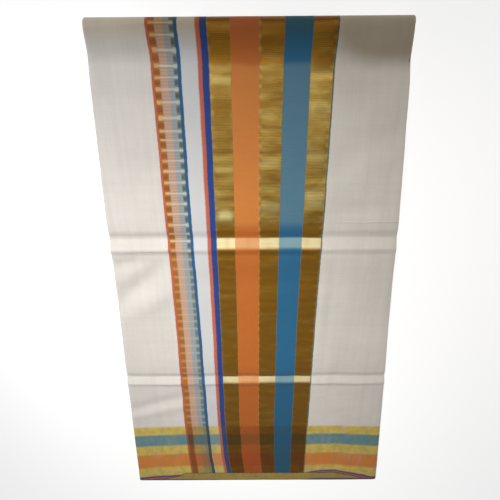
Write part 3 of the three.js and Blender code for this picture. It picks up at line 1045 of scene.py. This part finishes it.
# ---- the pieces ----------------------------------------------------------------------------------

LEFT_DEPTHS = (6.7, 5.6, 4.5, 3.4)  # stations down the left side
LEFT_ROUND = 1.8  # how far the left side's upper corner is rounded
LEFT_STEPS = 5
FLAT_STEPS = 150
RIGHT_STEPS = 6
RIGHT_TUCK = 1.4  # how far the top layer is followed back under itself at the right
CURL_ROUND = 0.5
CURL_ROWS = 6
CURL_LIFT = 0.9
# the width of cloth that shows on the rim's roll, inside the painted shadow line at the selvedge
RIM_SHOWS = 1.0
RIM_DROP = 0.5
PLEAT_HEIGHT = 0.12  # for each millimetre of cloth that the pleat takes up
ZARI_RISE = 0.25
ZARI_EDGE = [(0, 0), (8, 1)]  # by the distance inside a gold band

# Rows of the top layer's grid: (start, end, step) along the run.
TOP_ROWS = [
    (0, 4, 0.8),
    (4, 40, 2.0),
    (40, 236, 5.4),
    (236, 306, 2.2),
    (306, 540, 6.2),
    (540, 610, 2.2),
    (610, 846, 6.2),
    (846, FOLD_CENTRE, 3.2),
    (FOLD_CENTRE, FOLD_END, 1.6),
    (FOLD_END, SAREE_WIDTH, 12),
]


def top_section():
    """Stations across the top layer: (side, inset, depth). On the flat, the inset is the share of the
    way across."""
    section = [("left", HALF_PITCH, depth) for depth in LEFT_DEPTHS]
    for step in range(1, LEFT_STEPS + 1):
        angle = math.pi / 2 * step / LEFT_STEPS
        inset = HALF_PITCH + LEFT_ROUND * (1 - math.cos(angle))
        depth = HALF_PITCH + LEFT_ROUND * (1 - math.sin(angle))
        section.append(("left", inset, depth))
    section += [("flat", step / FLAT_STEPS, HALF_PITCH) for step in range(1, FLAT_STEPS)]
    section.append(("right", PITCH, HALF_PITCH))
    for step in range(1, RIGHT_STEPS):
        angle = math.pi * step / RIGHT_STEPS
        inset = PITCH - HALF_PITCH * math.sin(angle)
        depth = PITCH - HALF_PITCH * math.cos(angle)
        section.append(("right", inset, depth))
    section += [("right", inset, PITCH + HALF_PITCH) for inset in (PITCH, RIGHT_TUCK)]
    return section


def top_rows():
    """Stations from the curled selvedge to the turned-under end: (curl or run, value)."""
    curl = [("curl", 1 - step / CURL_ROWS) for step in range(CURL_ROWS)]
    return curl + [("run", run) for run in spaced(TOP_ROWS)]


def zari_pucker(along, v):
    """How far the stiff zari stands off the pile, in soft patches."""
    rise = 0
    for start, end, _, lustre, _, _ in PALLU_BANDS:
        if lustre == 1:
            edge = min(along - BAND_START - start, end + BAND_START - along)
            rise += ZARI_RISE * eased(ZARI_EDGE, edge) * (1 + wander("zari pucker", along, v))
    return max(0, rise)


def top_across(column, station):
    """The x of a column of the top layer, and its place along the cloth."""
    side, inset, depth = column
    left, right = left_side(station), right_side(station)
    if side == "left":
        return left + inset, left - (depth - HALF_PITCH)
    if side == "right":
        return right - inset, right + (depth - HALF_PITCH) + (inset if depth > PITCH else 0)
    start, end = left + HALF_PITCH + LEFT_ROUND, right - PITCH
    x = start + (end - start) * inset
    return x, x


def top_place(column, row):
    """Where a thread of the top layer lies."""
    side, _, depth = column
    kind, value = row
    run = 0.0 if kind == "curl" else value
    x, length = top_across(column, station_of(run))
    if run > FOLD_CENTRE:
        point, width = lay(x, depth, run)
        return point, length, width + EDGE_BAND
    felt = max(0.0, 1 - run / WAVE_REACH)
    v = run + eased(EDGE_WAVE, x) * felt
    tuck = eased(EDGE_TUCK, x)
    width = max(0.0, v + EDGE_BAND - eased(STRIPE_WAVE, x) * felt - tuck * eased(TUCK_REACH, run))
    length -= straight(DRAWN, x) * eased(DRAWN_END, x) * straight(DRAWN_REACH, run)
    rolled = eased(RIM_ROLL, run)
    width += (min(width, RIM_SHOWS) - width) * rolled
    rim_width = max(0.0, eased(EDGE_WAVE, x) + EDGE_BAND - eased(STRIPE_WAVE, x) - tuck)
    point, _ = lay(x, depth, v)
    pleat = PLEAT_HEIGHT * tuck * eased(PLEAT_RISE, run) * eased(PLEAT_FALL, run)
    lifted = CURL_LIFT * min(rim_width / EDGE_BAND, 1) * eased(CURL_FADE, run)
    puckered = zari_pucker(x, v) * eased(PUCKER_FADE, run - FOLD_CENTRE) if side == "flat" else 0
    point.z += (lifted + pleat + puckered - RIM_DROP * rolled) * MM
    if kind == "curl":
        under = value * rim_width
        angle = min(math.pi, under / CURL_ROUND)
        back = max(0.0, under - math.pi * CURL_ROUND)
        point.y += (back - CURL_ROUND * math.sin(angle)) * MM
        point.z -= CURL_ROUND * (1 - math.cos(angle)) / 2 * MM
        width = min(rim_width, RIM_SHOWS) * (1 - value)
    point.z = max(point.z, LOWEST * MM)
    return point, length, width


def make_pallu_panel():
    panel = woven_sheet(
        "pallu_cloth",
        [(top_section(), top_rows(), top_place)],
        woven_cotton("cotton with pallu bands", True),
    )
    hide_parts("pallu_panel")
    return panel


SECOND_LEFT_INSET = 2.2
SECOND_RIGHT_INSET = RIGHT_TUCK + 0.1
SECOND_LENGTH = 300  # how much further along the cloth the second layer is, at x 0
UNDERLAP_END = 58
UNDERLAP_TUCK = 7  # how far the second layer's selvedge is turned under itself
TUCK_ROUND = 1
TUCK_DROP = 0.45
STRIP_STEPS = 140
# Rows of the strip of the second layer that shows: (start, end, step) along the run.
STRIP_ROWS = [
    (-UNDERLAP - UNDERLAP_TUCK, -UNDERLAP, 1),
    (-UNDERLAP, 5, 2.4),
    (5, UNDERLAP_END, 9),
]


def second_place(share, run):
    """Where a thread of the second layer lies. Its own selvedge is turned under itself."""
    x = across(station_of(run), share, SECOND_LEFT_INSET, SECOND_RIGHT_INSET)
    v, depth = run, PITCH + HALF_PITCH
    if run < -UNDERLAP:
        under = -UNDERLAP - run
        v = -UNDERLAP + max(0, under - TUCK_ROUND)
        depth += TUCK_DROP * min(TUCK_ROUND, under)
    point, width = lay(x, depth, v, hidden_slack(x, v))
    if run < -UNDERLAP:
        width = run
    return point, SECOND_LENGTH + x, width - eased(SECOND_EDGE, x)


def make_border_underlap():
    strip = woven_sheet(
        "second_layer_border",
        [(shares(STRIP_STEPS), spaced(STRIP_ROWS), second_place)],
        woven_cotton("cotton with border", False),
    )
    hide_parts("border_underlap")
    return strip


THIRD_LENGTH = 830.0  # where along the cloth the third layer begins
LAYER_LENGTH = 500
LAYER_STEPS = 14
TURN_LENGTH = 1.0  # the cloth in a fold from one layer to the next
TURN_STEPS = 5
SECOND_STEPS = 20
HIDDEN_EDGE = -17  # the v that the hidden layers' selvedges reach
PILE_SPAN = 550  # from one side of the pile to the other
LEFT_INSET = 1.9
RIGHT_INSET = 1.2
LEAST_INSET = 0.55
BORDER_START = UNDERLAP + 10  # the selvedge's width coordinate counts from there

# Rows of the hidden layers' grids: (start, end, step) along the run.
SHARED_ROWS = [
    (236, 300, 8),
    (300, 540, 48),
    (540, 640, 10),
    (640, 850, 42),
    (850, FOLD_CENTRE, 13),
    (FOLD_CENTRE, FOLD_END, 2.6),
    (FOLD_END, SAREE_WIDTH - 3, 30),
]
SECOND_ROWS = [(UNDERLAP_END + 0.5, 236, 30), *SHARED_ROWS]
PILE_ROWS = [(-1, 12, 13), (12, 60, 24), (60, 236, 44), *SHARED_ROWS]


def pile_section():
    """Stations along the folded length, from the third layer to the lowest: (share across, bulge,
    depth, length along the cloth, layer)."""
    section = []
    length = THIRD_LENGTH
    for layer in range(3, LAYERS + 1):
        depth = (layer - 0.5) * PITCH
        leftward = layer % 2 == 0
        for done in shares(LAYER_STEPS):
            share = 1 - done if leftward else done
            section.append((share, 0.0, depth, length + done * LAYER_LENGTH, layer))
        length += LAYER_LENGTH
        if layer < LAYERS:
            for step in range(1, TURN_STEPS):
                angle = math.pi * step / TURN_STEPS
                bulge = HALF_PITCH * math.sin(angle)
                turn_depth = depth + HALF_PITCH * (1 - math.cos(angle))
                turned = length + TURN_LENGTH * step / TURN_STEPS
                section.append((0.0 if leftward else 1.0, bulge, turn_depth, turned, layer))
            length += TURN_LENGTH
    return section


def pile_place(column, run):
    """Where a thread of the hidden layers lies. Their sides and selvedges are uneven."""
    share, bulge, depth, length, layer = column
    if run < 0:
        run = HIDDEN_EDGE + abs(wander("layer edge", layer))
        run += wander("edge sway", share * PILE_SPAN, 0, layer)
    station = station_of(run)
    fold = (layer - 1) // 2
    left_inset = LEFT_INSET + wander("left sway", station, 0, fold)
    right_inset = RIGHT_INSET + wander("right step", fold) + wander("right sway", station, 0, fold)
    x = across(station, share, left_inset, max(LEAST_INSET, right_inset))
    x += bulge if share > 0.5 else -bulge
    point, width = lay(x, depth, run, hidden_slack(x, run))
    point.z = max(point.z, LOWEST * MM)
    return point, length, width + BORDER_START


def make_folded_layers():
    pile = woven_sheet(
        "folded_cloth",
        [
            (pile_section(), spaced(PILE_ROWS), pile_place),
            (shares(SECOND_STEPS), spaced(SECOND_ROWS), second_place),
        ],
        woven_cotton("plain cotton with border", False),
    )
    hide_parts("folded_layers")
    return pile


# ---- the room ------------------------------------------------------------------------------------

FLOOR_HALF = 4.0
FLOOR_COLOUR = (0.4, 0.4, 0.4, 1)
FLOOR_GLOW = 0.76
FLOOR_ROUGHNESS = 0.95

# Soft windows: (name, place, aim, power, colour).
PLAIN_LIGHT = (1.0, 1.0, 1.0)
WARM_LIGHT = (1.0, 0.93, 0.81)
WINDOWS = [
    ("left window", (-0.75, 1.0, 1.0), (-0.22, 0.12, 0), 44, PLAIN_LIGHT),
    ("left window low", (-0.6, 0.8, 1.1), (-0.2, -0.2, 0), 38, PLAIN_LIGHT),
    ("middle window", (-0.2, 1.05, 1.1), (0.02, -0.02, 0), 8, PLAIN_LIGHT),
    ("right window", (0.4, 1.05, 1.1), (0.2, -0.05, 0), 27, WARM_LIGHT),
]
WINDOW_SPREAD = math.radians(42)
WINDOW_RADIUS = 0.12
OVERHEAD_PLACE = (-0.05, 0.30, 1.5)
OVERHEAD_AIM = (-0.05, 0.15, 0)
OVERHEAD_SIZE = (0.7, 0.4)
OVERHEAD_POWER = 2.5
SKY_COLOUR = (0.96, 0.97, 1.0, 1)
SKY_STRENGTH = 0.1

CAMERA_PLACE = (-0.0125, (825 + FAR_Y) * MM, 0.607)
CAMERA_TILT = math.radians(-23.59)
CAMERA_TURN = math.radians(-0.36)
SENSOR_WIDTH = 36
FOCAL_LENGTH = 27.36
NEAREST = 0.01


def make_floor():
    bm = bmesh.new()
    bmesh.ops.create_grid(bm, x_segments=1, y_segments=1, size=FLOOR_HALF)
    mesh = bpy.data.meshes.new("floor")
    bm.to_mesh(mesh)
    bm.free()
    paper = Weave("pale floor")
    paper.shade(
        Base_Color=FLOOR_COLOUR,
        Emission_Color=WHITE,
        Emission_Strength=FLOOR_GLOW,
        Roughness=FLOOR_ROUGHNESS,
    )
    mesh.materials.append(paper.material)
    add_object("floor", mesh)


def hang_lamp(name, light, place, aim):
    lamp = add_object(name, light)
    lamp.location = place
    lamp.rotation_euler = (Vector(aim) - Vector(place)).to_track_quat("-Z", "Y").to_euler()


def make_lights():
    for name, place, aim, power, colour in WINDOWS:
        light = bpy.data.lights.new(name, "SPOT")
        light.energy = power
        light.color = colour
        light.spot_size = WINDOW_SPREAD
        light.spot_blend = 1.0
        light.shadow_soft_size = WINDOW_RADIUS
        hang_lamp(name, light, place, aim)
    overhead = bpy.data.lights.new("overhead", "AREA")
    overhead.shape = "RECTANGLE"
    overhead.size, overhead.size_y = OVERHEAD_SIZE
    overhead.energy = OVERHEAD_POWER
    hang_lamp("overhead", overhead, OVERHEAD_PLACE, OVERHEAD_AIM)
    world = bpy.data.worlds.new("room")
    bpy.context.scene.world = world
    world.use_nodes = True
    sky = world.node_tree.nodes["Background"]
    sky.inputs["Color"].default_value = SKY_COLOUR
    sky.inputs["Strength"].default_value = SKY_STRENGTH


def make_camera():
    lens = bpy.data.cameras.new("camera")
    lens.sensor_width = SENSOR_WIDTH
    lens.lens = FOCAL_LENGTH
    lens.clip_start = NEAREST
    camera = add_object("camera", lens)
    camera.location = CAMERA_PLACE
    camera.rotation_euler = (CAMERA_TILT, 0, CAMERA_TURN)
    bpy.context.scene.camera = camera
    bpy.context.scene.view_settings.view_transform = "Standard"


make_camera()
make_floor()
make_lights()
top_panel = make_pallu_panel()
border_strip = make_border_underlap()
folded_pile = make_folded_layers()
